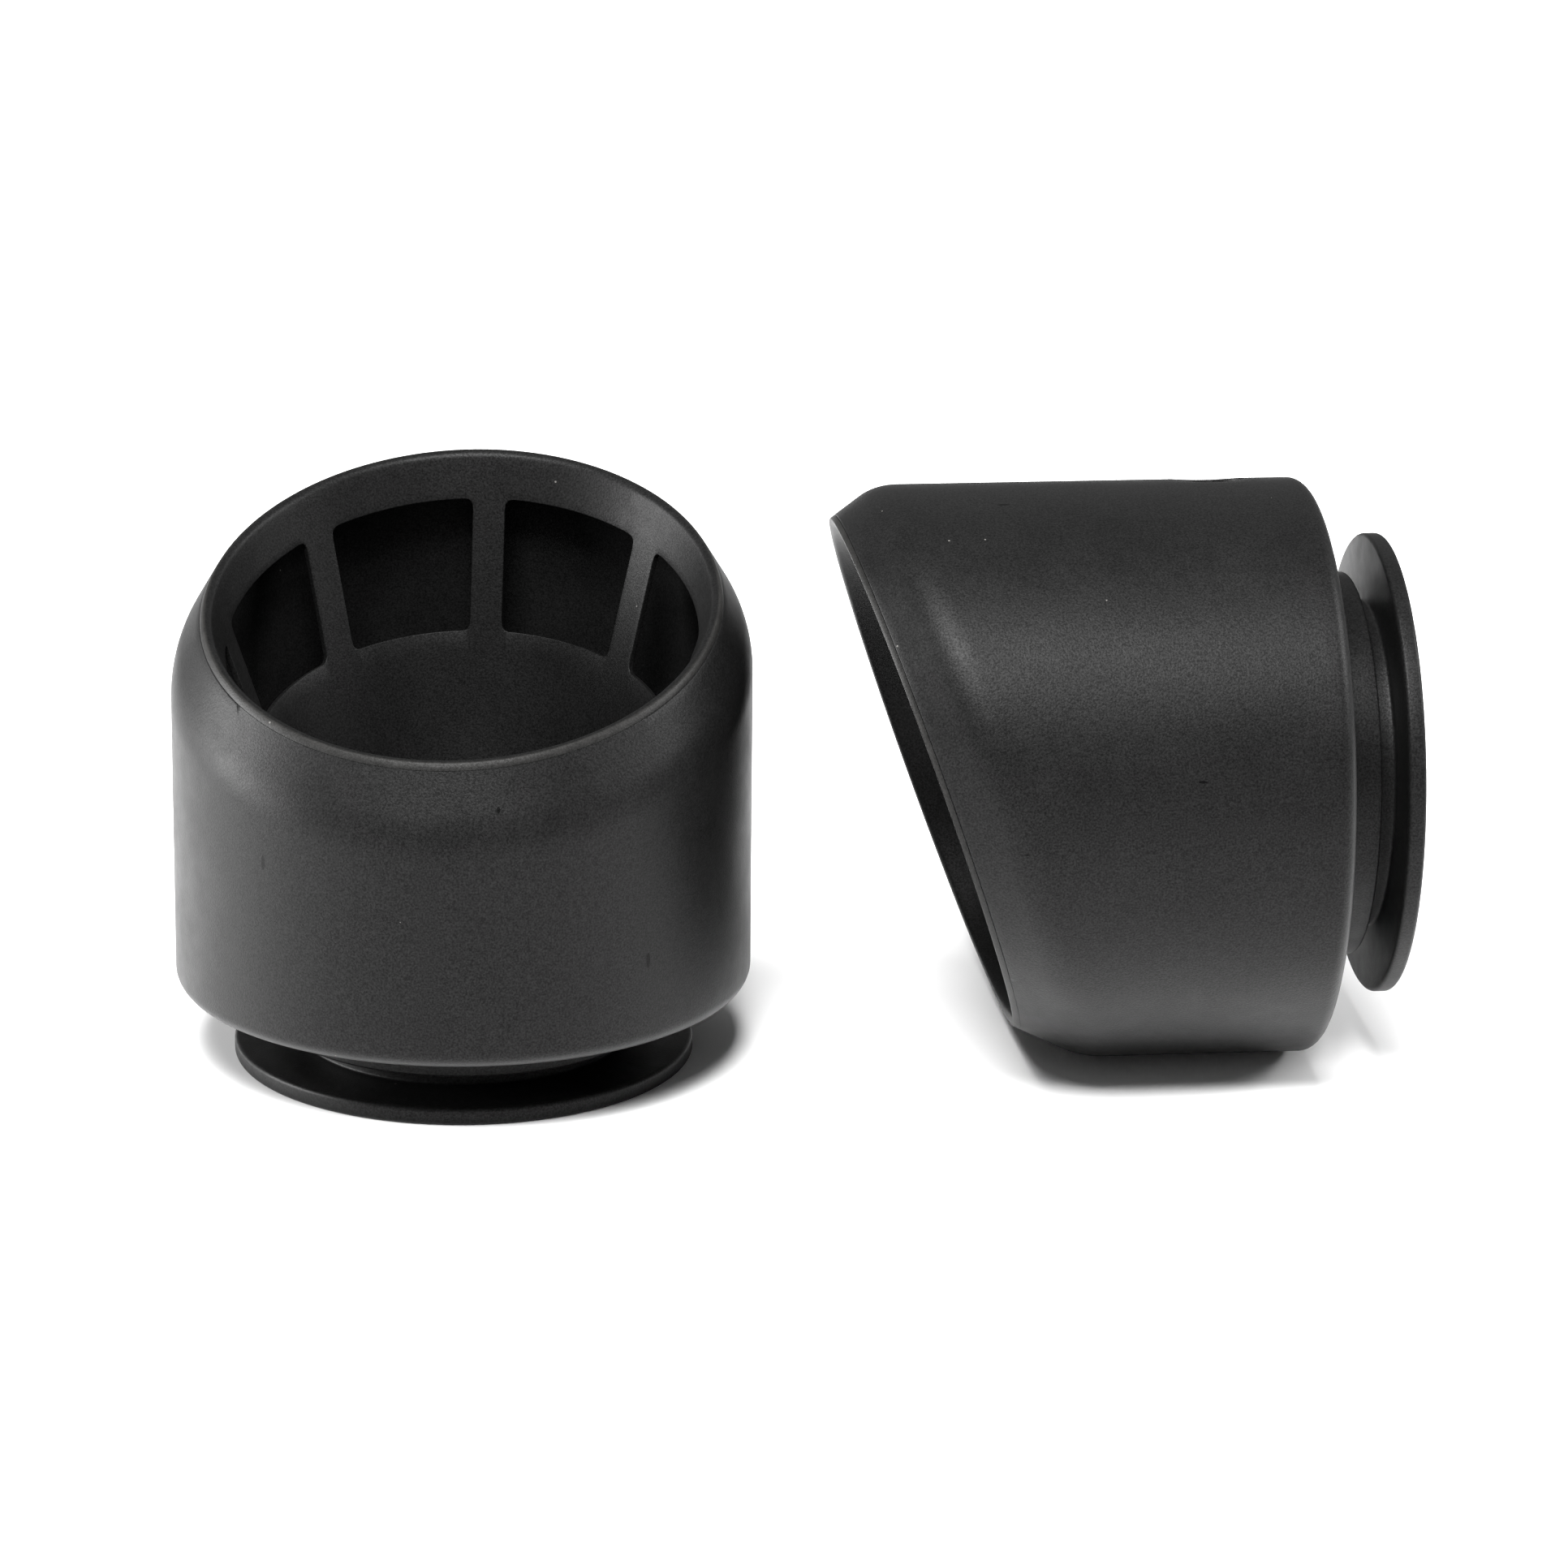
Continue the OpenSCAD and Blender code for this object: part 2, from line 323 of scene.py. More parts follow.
def place_piece(cup, name, node, mesh, material):
    """Puts a finished mesh where the cup stands, as a piece that stands for a CAD node."""
    mesh = mesh.copy()
    own_place = mesh.attributes.new("own_place", "FLOAT_VECTOR", "POINT")
    shift = Vector((0.2, 0.1, 0.3)) * CUPS.index(cup)
    own_place.data.foreach_set("vector", [x for v in mesh.vertices for x in v.co + shift])
    mesh.transform(cup_place(cup))
    mesh.shade_smooth()
    mesh.set_sharp_from_angle(angle=SHARP_ANGLE)
    mesh.materials.clear()
    mesh.materials.append(material)
    piece = bpy.data.objects.new(f"{cup}_{name}", mesh)
    bpy.context.scene.collection.objects.link(piece)
    low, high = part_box(f"{cup}_{node}")
    for corner in (Vector(c) for c in piece.bound_box):
        for axis in range(3):
            if not low[axis] - BOX_SLACK <= corner[axis] <= high[axis] + BOX_SLACK:
                raise RuntimeError(f"{piece.name} leaves the box of its CAD node at {corner}")
    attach(piece, f"{cup}_cup")
    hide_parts(f"{cup}_{node}")


def place_pieces(name, node, mesh, material):
    """Puts the same piece on each cup."""
    for cup in CUPS:
        place_piece(cup, name, node, mesh, material)


# ---------------------------------------------------------------- finishes


def empty_material(name):
    """A new material without nodes, and its node tree."""
    material = bpy.data.materials.new(name)
    material.use_nodes = True
    material.node_tree.nodes.clear()
    return material, material.node_tree


def own_place_of(tree):
    """The place on the cup in millimetres, so that patterns turn with the cup."""
    place = add_node(tree, "ShaderNodeAttribute", attribute_name="own_place")
    return add_node(tree, "ShaderNodeVectorMath", {0: place.outputs["Vector"], "Scale": 1 / MM},
                    operation="SCALE").outputs[0]


def scattered_marks(tree, place, scale, reach, channel, limit):
    """Round marks in the middles of the cells whose random colour channel is above the limit."""
    cells = add_node(tree, "ShaderNodeTexVoronoi", {"Vector": place, "Scale": scale})
    near = add_node(tree, "ShaderNodeMath", {0: cells.outputs["Distance"], 1: reach},
                    operation="LESS_THAN")
    shade = add_node(tree, "ShaderNodeSeparateColor", {"Color": cells.outputs["Color"]})
    chosen = add_node(tree, "ShaderNodeMath", {0: shade.outputs[channel], 1: limit},
                      operation="GREATER_THAN")
    return add_node(tree, "ShaderNodeMath", {0: near.outputs[0], 1: chosen.outputs[0]},
                    operation="MULTIPLY")


def spark_grained_charcoal(name, finishes, part):
    """Moulded charcoal ABS from a spark-eroded mould: fully matt, with a fine even grain.

    The grain scatters the softboxes into broad, soft highlights. Light clouds lie in the colour,
    the lip's outer edge is painted paler, partly as wear and partly as a painted highlight, and
    dust and a few dark scuffs lie on it. The part is "body" or "funnel".
    """
    material, tree = empty_material(name)
    place = own_place_of(tree)

    # clouds about 9 mm wide, and a mottle about 1.5 mm wide
    clouds = add_node(tree, "ShaderNodeTexNoise",
                      {"Vector": place, "Scale": 1 / 9, "Detail": 3, "Roughness": 0.6})
    mottle = add_node(tree, "ShaderNodeTexNoise",
                      {"Vector": place, "Scale": 1 / 1.5, "Detail": 2, "Roughness": 0.5})
    mixed = add_node(tree, "ShaderNodeMath", {0: mottle.outputs["Fac"], 1: 0.4,
                                              2: clouds.outputs["Fac"]}, operation="MULTIPLY_ADD")
    share = add_node(tree, "ShaderNodeMapRange", {"Value": mixed.outputs[0], "From Min": 0.5,
                                                  "From Max": 0.9})
    colour = add_node(tree, "ShaderNodeMix",
                      {"Factor": share.outputs[0], 6: linear(getattr(finishes, part)),
                       7: linear(getattr(finishes, part + "_cloud"))}, data_type="RGBA")

    # the grain's pits are 0.1 mm on a real moulding and are drawn 0.2 mm wide, so that they show
    grain = add_node(tree, "ShaderNodeTexNoise",
                     {"Vector": place, "Scale": 1 / 0.2, "Detail": 1, "Roughness": 0.6})
    grain_tone = add_node(tree, "ShaderNodeMapRange", {"Value": grain.outputs["Fac"],
                                                       "From Min": 0.3, "From Max": 0.7,
                                                       "To Min": 0.55, "To Max": 1.45})
    toned = add_node(tree, "ShaderNodeVectorMath", {0: colour.outputs[2],
                                                    1: grain_tone.outputs[0]},
                     operation="MULTIPLY")

    # dust: specks 0.2 mm across, one in about every 5 mm
    specks = scattered_marks(tree, place, 1 / 2.4, 0.045, 0, 0.86)

    # scuffs: dark marks up to 1.5 mm long that run along the cup's axis
    longways = add_node(tree, "ShaderNodeMapping", {"Vector": place, "Scale": (1, 1, 0.3)})
    scuffs = scattered_marks(tree, longways.outputs[0], 1 / 3.5, 0.07, 1, 0.85)

    # the attribute is 1 on the lip's outer edge, which is painted paler: partly wear and partly a
    # painted highlight. The mottle makes it uneven
    wear_and_sheen = add_node(tree, "ShaderNodeAttribute", attribute_name="wear_and_sheen")
    uneven = add_node(tree, "ShaderNodeMapRange", {"Value": mottle.outputs["Fac"],
                                                   "To Min": 0.04, "To Max": 0.16})
    worn = add_node(tree, "ShaderNodeMath", {0: wear_and_sheen.outputs["Fac"], 1: uneven.outputs[0]},
                    operation="MULTIPLY")

    scuffed = add_node(tree, "ShaderNodeMix", {"Factor": scuffs.outputs[0], 6: toned.outputs[0],
                                               7: linear(finishes.scuff)}, data_type="RGBA")
    # the dust specks and the lip's paler edge, which is partly wear and partly a painted highlight,
    # mix towards the dust colour
    dust_and_sheen = add_node(tree, "ShaderNodeMath", {0: specks.outputs[0], 1: worn.outputs[0]},
                      operation="MAXIMUM")
    dust_and_sheen_share = add_node(tree, "ShaderNodeMath", {0: dust_and_sheen.outputs[0], 1: 0.35},
                          operation="MULTIPLY")
    final = add_node(tree, "ShaderNodeMix", {"Factor": dust_and_sheen_share.outputs[0],
                                             6: scuffed.outputs[2], 7: linear(finishes.dust)},
                     data_type="RGBA")

    # the grain and the scuffs take the sheen away in their pits
    left = add_node(tree, "ShaderNodeMath", {0: scuffs.outputs[0], 1: -0.7, 2: 1},
                    operation="MULTIPLY_ADD")
    pitted = add_node(tree, "ShaderNodeMath", {0: grain_tone.outputs[0], 1: left.outputs[0]},
                      operation="MULTIPLY")
    sheen = add_node(tree, "ShaderNodeMath", {0: pitted.outputs[0], 1: 0.08},
                     operation="MULTIPLY")
    rough = add_node(tree, "ShaderNodeMapRange", {"Value": share.outputs[0], "To Min": 0.42,
                                                  "To Max": 0.5})
    bump = add_node(tree, "ShaderNodeBump", {"Height": grain.outputs["Fac"], "Strength": 0.6,
                                             "Distance": 0.03 * MM})
    # ABS has an IOR of 1.54. The 1.85 and the low sheen are matched to the look and not measured.
    surface = add_node(tree, "ShaderNodeBsdfPrincipled",
                       {"Base Color": final.outputs[2], "Roughness": rough.outputs[0],
                        "IOR": 1.85, "Specular Tint": sheen.outputs[0], "Normal": bump.outputs[0]})
    add_node(tree, "ShaderNodeOutputMaterial", {"Surface": surface.outputs[0]})
    return material


def black_oxide_steel(name, base, worn):
    """Machined alloy steel with a black oxide bath: dark, slightly oily, thinner in blotches."""
    material, tree = empty_material(name)
    place = own_place_of(tree)
    # blotches about 1.2 mm wide where the oxide is thinner
    blotches = add_node(tree, "ShaderNodeTexNoise",
                        {"Vector": place, "Scale": 1 / 1.2, "Detail": 4, "Roughness": 0.6})
    share = add_node(tree, "ShaderNodeMapRange", {"Value": blotches.outputs["Fac"],
                                                  "From Min": 0.45, "From Max": 0.75})
    colour = add_node(tree, "ShaderNodeMix", {"Factor": share.outputs[0], 6: linear(base),
                                              7: linear(worn)}, data_type="RGBA")
    rough = add_node(tree, "ShaderNodeMapRange", {"Value": share.outputs[0], "To Min": 0.42,
                                                  "To Max": 0.3})
    # turning marks 0.1 mm apart round the screw's axis
    rings = add_node(tree, "ShaderNodeTexWave", {"Vector": place, "Scale": 1 / 0.63,
                                                 "Distortion": 0.4},
                     wave_type="RINGS", rings_direction="Z")
    bump = add_node(tree, "ShaderNodeBump", {"Height": rings.outputs["Fac"], "Strength": 0.15,
                                             "Distance": 0.01 * MM})
    surface = add_node(tree, "ShaderNodeBsdfPrincipled",
                       {"Base Color": colour.outputs[2], "Metallic": 0.9,
                        "Roughness": rough.outputs[0], "Normal": bump.outputs[0]})
    add_node(tree, "ShaderNodeOutputMaterial", {"Surface": surface.outputs[0]})
    return material


def white_sweep(name, base):
    """Matt white laminate: pale, even, with the faintest mottle."""
    material, tree = empty_material(name)
    place = add_node(tree, "ShaderNodeTexCoord").outputs["Object"]
    # mottle about 40 mm wide
    mottle = add_node(tree, "ShaderNodeTexNoise", {"Vector": place, "Scale": 25, "Detail": 2})
    tone = add_node(tree, "ShaderNodeMapRange", {"Value": mottle.outputs["Fac"], "To Min": 0.985,
                                                 "To Max": 1.0})
    colour = add_node(tree, "ShaderNodeVectorMath", {0: linear(base)[:3], 1: tone.outputs[0]},
                      operation="MULTIPLY")
    surface = add_node(tree, "ShaderNodeBsdfPrincipled", {"Base Color": colour.outputs[0],
                                                          "Roughness": 0.8})
    add_node(tree, "ShaderNodeOutputMaterial", {"Surface": surface.outputs[0]})
    return material


# ---------------------------------------------------------------- Geometry Nodes trees


def geometry_tree(name, inputs):
    """A Geometry Nodes tree with the named inputs and one output for the shape."""
    tree = bpy.data.node_groups.new(name, "GeometryNodeTree")
    for socket, kind in inputs.items():
        tree.interface.new_socket(socket, in_out="INPUT", socket_type="NodeSocket" + kind)
    tree.interface.new_socket("Shape", in_out="OUTPUT", socket_type="NodeSocketGeometry")
    return tree


def turning_tree():
    """A skin turned round the Z axis through slanted rings.

    Each vertex of the profile holds one ring as (radius, slope, height). A ring's number is
    kept in the attribute "ring".
    """
    tree = geometry_tree("slanted turning", {"Profile": "Geometry", "Segments": "Int",
                                             "Finish": "Material"})
    given = add_node(tree, "NodeGroupInput")
    profile = given.outputs["Profile"]
    ring_count = add_node(tree, "GeometryNodeAttributeDomainSize", {0: profile}).outputs[0]
    columns = add_node(tree, "ShaderNodeMath", {0: given.outputs["Segments"], 1: 1})
    grid = add_node(tree, "GeometryNodeMeshGrid", {"Size X": 1, "Size Y": 1,
                                                   "Vertices X": columns.outputs[0],
                                                   "Vertices Y": ring_count})
    spot = add_node(tree, "ShaderNodeSeparateXYZ",
                    {0: add_node(tree, "GeometryNodeInputPosition").outputs[0]})
    turn = add_node(tree, "ShaderNodeMath", {0: spot.outputs["X"], 1: math.tau},
                    operation="MULTIPLY").outputs[0]
    last_ring = add_node(tree, "ShaderNodeMath", {0: ring_count, 1: 1}, operation="SUBTRACT")
    from_start = add_node(tree, "ShaderNodeMath", {0: spot.outputs["Y"], 1: 0.5})
    ring = add_node(tree, "ShaderNodeMath", {0: from_start.outputs[0], 1: last_ring.outputs[0]},
                    operation="MULTIPLY")
    ring = add_node(tree, "ShaderNodeMath", {0: ring.outputs[0]}, operation="ROUND").outputs[0]
    kept = add_node(tree, "GeometryNodeStoreNamedAttribute",
                    {"Geometry": grid.outputs["Mesh"], "Name": "ring", "Value": ring},
                    data_type="INT", domain="POINT")
    own_ring = add_node(tree, "GeometryNodeSampleIndex",
                        {"Geometry": profile, "Index": ring,
                         "Value": add_node(tree, "GeometryNodeInputPosition").outputs[0]},
                        data_type="FLOAT_VECTOR", domain="POINT")
    sizes = add_node(tree, "ShaderNodeSeparateXYZ", {0: own_ring.outputs[0]})
    cosine = add_node(tree, "ShaderNodeMath", {0: turn}, operation="COSINE")
    sine = add_node(tree, "ShaderNodeMath", {0: turn}, operation="SINE")
    x = add_node(tree, "ShaderNodeMath", {0: sizes.outputs["X"], 1: cosine.outputs[0]},
                 operation="MULTIPLY")
    y = add_node(tree, "ShaderNodeMath", {0: sizes.outputs["X"], 1: sine.outputs[0]},
                 operation="MULTIPLY")
    z = add_node(tree, "ShaderNodeMath", {0: y.outputs[0], 1: sizes.outputs["Y"],
                                          2: sizes.outputs["Z"]}, operation="MULTIPLY_ADD")
    place = add_node(tree, "ShaderNodeCombineXYZ", {"X": x.outputs[0], "Y": y.outputs[0],
                                                    "Z": z.outputs[0]})
    turned = add_node(tree, "GeometryNodeSetPosition", {"Geometry": kept.outputs[0],
                                                        "Position": place.outputs[0]})
    closed = add_node(tree, "GeometryNodeMergeByDistance", {"Geometry": turned.outputs[0],
                                                            "Distance": 0.001 * MM})
    real = add_node(tree, "GeometryNodeRealizeInstances", {0: closed.outputs[0]})
    painted = add_node(tree, "GeometryNodeSetMaterial", {"Geometry": real.outputs[0],
                                                         "Material": given.outputs["Finish"]})
    add_node(tree, "NodeGroupOutput", {0: painted.outputs[0]})
    return tree


def row_tree():
    """Lays copies of a flat tile side by side along X and joins them at their edges."""
    tree = geometry_tree("row of tiles", {"Tile": "Geometry", "Tiles": "Int", "Pitch": "Float",
                                          "Finish": "Material"})
    given = add_node(tree, "NodeGroupInput")
    offset = add_node(tree, "ShaderNodeCombineXYZ", {"X": given.outputs["Pitch"]})
    points = add_node(tree, "GeometryNodeMeshLine", {"Count": given.outputs["Tiles"],
                                                     "Offset": offset.outputs[0]})
    tiles = add_node(tree, "GeometryNodeInstanceOnPoints", {"Points": points.outputs[0],
                                                            "Instance": given.outputs["Tile"]})
    real = add_node(tree, "GeometryNodeRealizeInstances", {0: tiles.outputs[0]})
    joined = add_node(tree, "GeometryNodeMergeByDistance", {"Geometry": real.outputs[0],
                                                            "Distance": 0.001})
    painted = add_node(tree, "GeometryNodeSetMaterial", {"Geometry": joined.outputs[0],
                                                         "Material": given.outputs["Finish"]})
    add_node(tree, "NodeGroupOutput", {0: painted.outputs[0]})
    return tree


def turned_mesh(rings, segments, material):
    """A closed skin through rings (radius, slope, height), which end where they start."""
    profile = bpy.data.meshes.new("profile")
    profile.from_pydata(rings, [], [])
    inputs = {"Segments": segments, "Finish": material}
    return tree_result(profile, turning_tree(), inputs)


# ---------------------------------------------------------------- hood


def hood_rings(sizes):
    """The hood's rings, and the numbers of the port's middle ring outside and inside."""
    hood, funnel, base = sizes.hood, sizes.funnel, sizes.base
    radius = hood.diameter / 2
    slope = math.tan(hood.mouth_tilt)
    low = base.flange_thickness + base.groove_height + base.collar_height
    floor_top = low + hood.floor
    foot_r = radius - hood.foot_wall
    port = low + hood.port_rise
    lip_r = funnel.lip_diameter / 2
    rest = hood.mouth_height - funnel.wall
    curve_in = hood.shoulder_round * (1 - math.cos(hood.shoulder_slope))
    curve_rise = hood.shoulder_round * math.sin(hood.shoulder_slope)
    straight_rise = (radius - lip_r - curve_in) / math.tan(hood.shoulder_slope)
    shoulder = hood.mouth_height - curve_rise - straight_rise
    seat_r = lip_r + funnel.wall * math.tan(hood.shoulder_slope)
    mouth_r = lip_r - funnel.lip_width + funnel.wall + FIT_GAP
    inner_r = radius - hood.wall
    band = [port + PORT_STEP * j for j in range(-PORT_REACH, PORT_REACH + 1)]

    base_centre = (radius - hood.base_round, low + hood.base_round)
    rings = level([(foot_r, low)] + arc(base_centre, hood.base_round, -90, 0, 8))
    port_out = len(rings) + PORT_REACH
    rings += [(radius, 0, z) for z in band]
    climb = 12
    rings += [(radius, slope * k / climb, z)
              for k, z in zip(range(1, climb), steps(band[-1], shoulder, climb))]
    for k in range(9):
        turn = hood.shoulder_slope * k / 8
        rings.append((radius - hood.shoulder_round * (1 - math.cos(turn)), slope,
                      shoulder + hood.shoulder_round * math.sin(turn)))
    slant_end = (seat_r, rest)
    rings += [(r, slope, z)
              for r, z in line((radius - curve_in, shoulder + curve_rise), slant_end, 4)]
    rings += [(mouth_r, slope, rest), (mouth_r, slope, rest - MOUTH_LAND)]
    rings += [(r, slope, z) for r, z in line((mouth_r, rest - MOUTH_LAND), (inner_r, shoulder), 4)]
    rings += [(inner_r, slope * (1 - k / climb), z)
              for k, z in zip(range(1, climb), steps(shoulder, band[-1], climb))]
    port_in = len(rings) + PORT_REACH
    rings += [(inner_r, 0, z) for z in reversed(band)]
    rings += level([(inner_r, floor_top), (foot_r, floor_top)])
    rings.append(rings[0])
    return rings, port_out, port_in


def plate_rings(sizes):
    """The rings of the plate that closes the hood, with the collar under it."""
    hood, base = sizes.hood, sizes.base
    edge = 0.25 * MM
    collar_low = base.flange_thickness + base.groove_height
    low = collar_low + base.collar_height
    top = low + hood.floor
    bore = base.screw_diameter / 2 + SCREW_PLAY
    collar = base.collar_diameter / 2
    rim = hood.diameter / 2 - hood.foot_wall - FIT_GAP
    points = [(bore, collar_low)] + line((bore, collar_low), (collar - edge, collar_low), 6)[:-1]
    points += arc((collar - edge, collar_low + edge), edge, -90, 0, 5)
    points += line(points[-1], (collar, low - edge), 3)
    points += arc((collar + edge, low - edge), edge, 180, 90, 5)[1:]
    points += line(points[-1], (rim - edge, low), 4)[:-1]
    points += arc((rim - edge, low + edge), edge, -90, 0, 4) + [(rim, top - edge)]
    points += arc((rim - edge, top - edge), edge, 0, 90, 4)[1:]
    points += line(points[-1], (bore, top), 8)
    return level(points + [points[0]])


def cut_port(mesh, sizes, port_out, port_in):
    """Draws the wall's grid in to a round hole around the port's axis and opens it.

    The port's turn is a whole number of the hood's faces, or the grid is sheared beside it.
    """
    hood = sizes.hood
    port_r = MOUNTS["standing_port"]["dims"]["r_mm"] * MM
    middle_turn = math.pi / 2 + hood.port_turn
    per_segment = math.tau / hood.segments
    bm = editable(mesh)
    ring_of = bm.verts.layers.int["ring"]
    edges, inside = {}, set()
    for vert in bm.verts:
        away = math.atan2(vert.co.y, vert.co.x) - middle_turn
        across = round(math.remainder(away, math.tau) / per_segment)
        for number, side in ((port_out, 1), (port_in, -1)):
            up = (vert[ring_of] - number) * side
            reach = max(abs(across), abs(up))
            if reach > PORT_REACH or abs(up) > PORT_REACH:
                continue
            if reach < PORT_HOLE:
                inside.add(vert)
                continue
            if reach == PORT_HOLE:
                edges[(side, across, up)] = vert
            radius = Vector(vert.co.xy).length
            share = (reach - PORT_HOLE) / (PORT_REACH - PORT_HOLE)
            direction = Vector((across, up)).normalized()
            square = Vector((radius * math.sin(across * PORT_REACH / reach * per_segment),
                             up * PORT_REACH / reach * PORT_STEP))
            spot = direction * port_r * (1 - share) + square * share
            turn = middle_turn + math.asin(spot.x / radius)
            middle_height = vert.co.z - up * PORT_STEP
            vert.co = (radius * math.cos(turn), radius * math.sin(turn), middle_height + spot.y)
    bmesh.ops.delete(bm, geom=list(inside), context="VERTS")
    around = sorted((key[1:] for key in edges if key[0] == 1),
                    key=lambda spot: math.atan2(spot[1], spot[0]))
    for spot, following in zip(around, around[1:] + around[:1]):
        bm.faces.new((edges[(1, *spot)], edges[(1, *following)],
                      edges[(-1, *following)], edges[(-1, *spot)]))
    return finish_mesh(bm, "hood")


# ---------------------------------------------------------------- funnel

# The tile: one window and half a rib on each side of it. Across, the window's sides are at -1
# and 1. Down, its edges are at 0 and 1, the mouth's rounding starts at -1 and the floor is at 2.
# Below -1, whole numbers count the lip's rings.
HALF_RIB = 0.24
LIP_RINGS = 8
CORNER = (0.105, 0.07)


def tile_mesh():
    """The flat tile with its window, whose corners are rounded."""
    corner_x, corner_y = CORNER
    across = ([-1 - HALF_RIB, -1 - HALF_RIB * 2 / 3, -1 - HALF_RIB / 3, -1]
              + steps(-1, -1 + corner_x, 1) + steps(-1 + corner_x, 1 - corner_x, 14)
              + [1] + steps(1, 1 + HALF_RIB, 3))
    down = ([-1 - k for k in range(LIP_RINGS, 0, -1)] + [-1] + steps(-1, 0, 5)
            + steps(0, corner_y, 1) + steps(corner_y, 1 - corner_y, 10) + [1] + steps(1, 2, 14))
    bm = bmesh.new()
    grid = {(i, j): bm.verts.new((x, y, 0)) for i, x in enumerate(across)
            for j, y in enumerate(down)}
    for i in range(len(across) - 1):
        for j in range(len(down) - 1):
            middle_x = (across[i] + across[i + 1]) / 2
            middle_y = (down[j] + down[j + 1]) / 2
            if abs(middle_x) > 1 or not 0 < middle_y < 1:
                bm.faces.new([grid[i, j], grid[i + 1, j], grid[i + 1, j + 1], grid[i, j + 1]])
            elif abs(middle_x) > 1 - corner_x and not corner_y < middle_y < 1 - corner_y:
                sharp = Vector((math.copysign(1, middle_x), round(middle_y)))
                inwards = Vector((-math.copysign(corner_x, middle_x),
                                  corner_y if middle_y < 0.5 else -corner_y))
                centre = sharp + inwards
                curve = []
                for k in range(6):
                    turn = math.pi / 2 * k / 5
                    x = centre.x - inwards.x * math.sin(turn)
                    y = centre.y - inwards.y * math.cos(turn)
                    curve.append(bm.verts.new((x, y, 0)))
                tip = bm.verts.new((sharp.x, sharp.y, 0))
                for one, two in zip(curve, curve[1:]):
                    bm.faces.new((tip, one, two))
    bmesh.ops.remove_doubles(bm, verts=bm.verts, dist=0.001)
    loose = [vert for vert in bm.verts if not vert.link_faces]
    bmesh.ops.delete(bm, geom=loose, context="VERTS")
    mesh = bpy.data.meshes.new("tile")
    bm.to_mesh(mesh)
    bm.free()
    return mesh


class FunnelForm:
    """Turns a place on the row of tiles into a place on the funnel's front or back."""

    def __init__(self, sizes):
        hood, funnel, base = sizes.hood, sizes.funnel, sizes.base
        self.sizes = funnel
        self.slope = math.tan(hood.mouth_tilt)
        self.low_slope = math.tan(funnel.window_low_tilt)
        self.mouth = hood.mouth_height
        self.lip_r = funnel.lip_diameter / 2
        self.mouth_r = self.lip_r - funnel.lip_width
        self.floor_r = funnel.floor_diameter / 2
        self.under = (base.flange_thickness + base.groove_height + base.collar_height
                      + hood.floor)
        self.floor = self.under + funnel.wall
        self.half = math.pi / funnel.windows
        self.lip_out = funnel.wall * math.tan(hood.shoulder_slope)

    def top(self, turn):
        """Height of the mouth's inner edge at a turn from the long side."""
        return self.mouth + self.slope * self.mouth_r * math.cos(turn)

    def share(self, turn, height, slope):
        """How far down the wall a slanted plane meets it, from 0 at the mouth to 1."""
        top = self.top(turn)
        drop = slope * math.cos(turn)
        return (top - height - drop * self.mouth_r) / (
            top - self.floor + drop * (self.floor_r - self.mouth_r))

    def wall_point(self, turn, share):
        """(radius, height) on the wall's front."""
        top = self.top(turn)
        return Vector((self.mouth_r + (self.floor_r - self.mouth_r) * share,
                       top + (self.floor - top) * share))

    def down_share(self, turn, down):
        """The wall's share for a place down the tile, from -1 to 2."""
        rounding = self.sizes.lip_round / (self.top(turn) - self.floor)
        upper = self.share(turn, self.mouth - self.sizes.window_drop, self.slope)
        lower = self.share(turn, self.sizes.window_low, self.low_slope)
        stops = (rounding, upper, lower, 1)
        part = min(int(down + 1), 2)
        return stops[part] + (stops[part + 1] - stops[part]) * (down + 1 - part)

    def lip_point(self, turn, ring):
        """(radius, height) on the lip: its rounding, its flat top and its outer side."""
        rise = self.slope * math.cos(turn)
        plane = Vector((1, rise))
        corner = Vector((self.mouth_r, self.top(turn)))
        start = self.wall_point(turn, self.down_share(turn, -1))
        end = corner + plane * self.sizes.lip_round
        crisp = 0.07 * MM
        edge = corner + plane * (self.lip_r - self.mouth_r)
        outer = (edge - plane * crisp, edge + Vector((crisp * 0.3, -crisp)),
                 edge + plane * self.lip_out + Vector((0, -self.sizes.wall)))
        if ring <= 5:
            k = ring / 5
            return start * (1 - k) ** 2 + corner * 2 * k * (1 - k) + end * k * k
        return outer[ring - 6]

    def lip_back(self, turn, ring):
        """(radius, height) on the lip's underside, which rests on the hood."""
        inner = self.mouth_r + self.sizes.wall + 0.02 * MM
        outer = self.lip_r + self.lip_out * 0.6
        radius = inner + (outer - inner) * ring / LIP_RINGS
        return Vector((radius, self.mouth + self.slope * math.cos(turn) * radius
                       - self.sizes.wall))

    def place(self, across, down, back):
        """The place on the funnel for a place on the row, on its front or its back."""
        pitch = 2 * (1 + HALF_RIB)
        number = round(across / pitch)
        across -= number * pitch
        turn_in_tile = across / (1 + HALF_RIB) * self.half
        middle = (number + 0.5) * 2 * self.half
        for _ in range(3):
            turn = middle + turn_in_tile
            share = self.down_share(turn, max(down, -1))
            radius = self.wall_point(turn, share).x
            window = self.half - math.asin(self.sizes.rib_width / 2 / radius)
            if abs(across) <= 1:
                turn_in_tile = across * window
            else:
                part = (abs(across) - 1) / HALF_RIB
                turn_in_tile = math.copysign(window + (self.half - window) * part, across)
        turn = middle + turn_in_tile
        if down >= -1:
            spot = self.wall_point(turn, self.down_share(turn, down))
            if back:
                share = self.down_share(turn, down)
                spot += Vector((self.sizes.wall, -self.sizes.wall * share))
        else:
            ring = round(-1 - down)
            spot = self.lip_back(turn, ring) if back else self.lip_point(turn, ring)
        return Vector((spot.x * math.sin(turn), spot.x * math.cos(turn), spot.y))


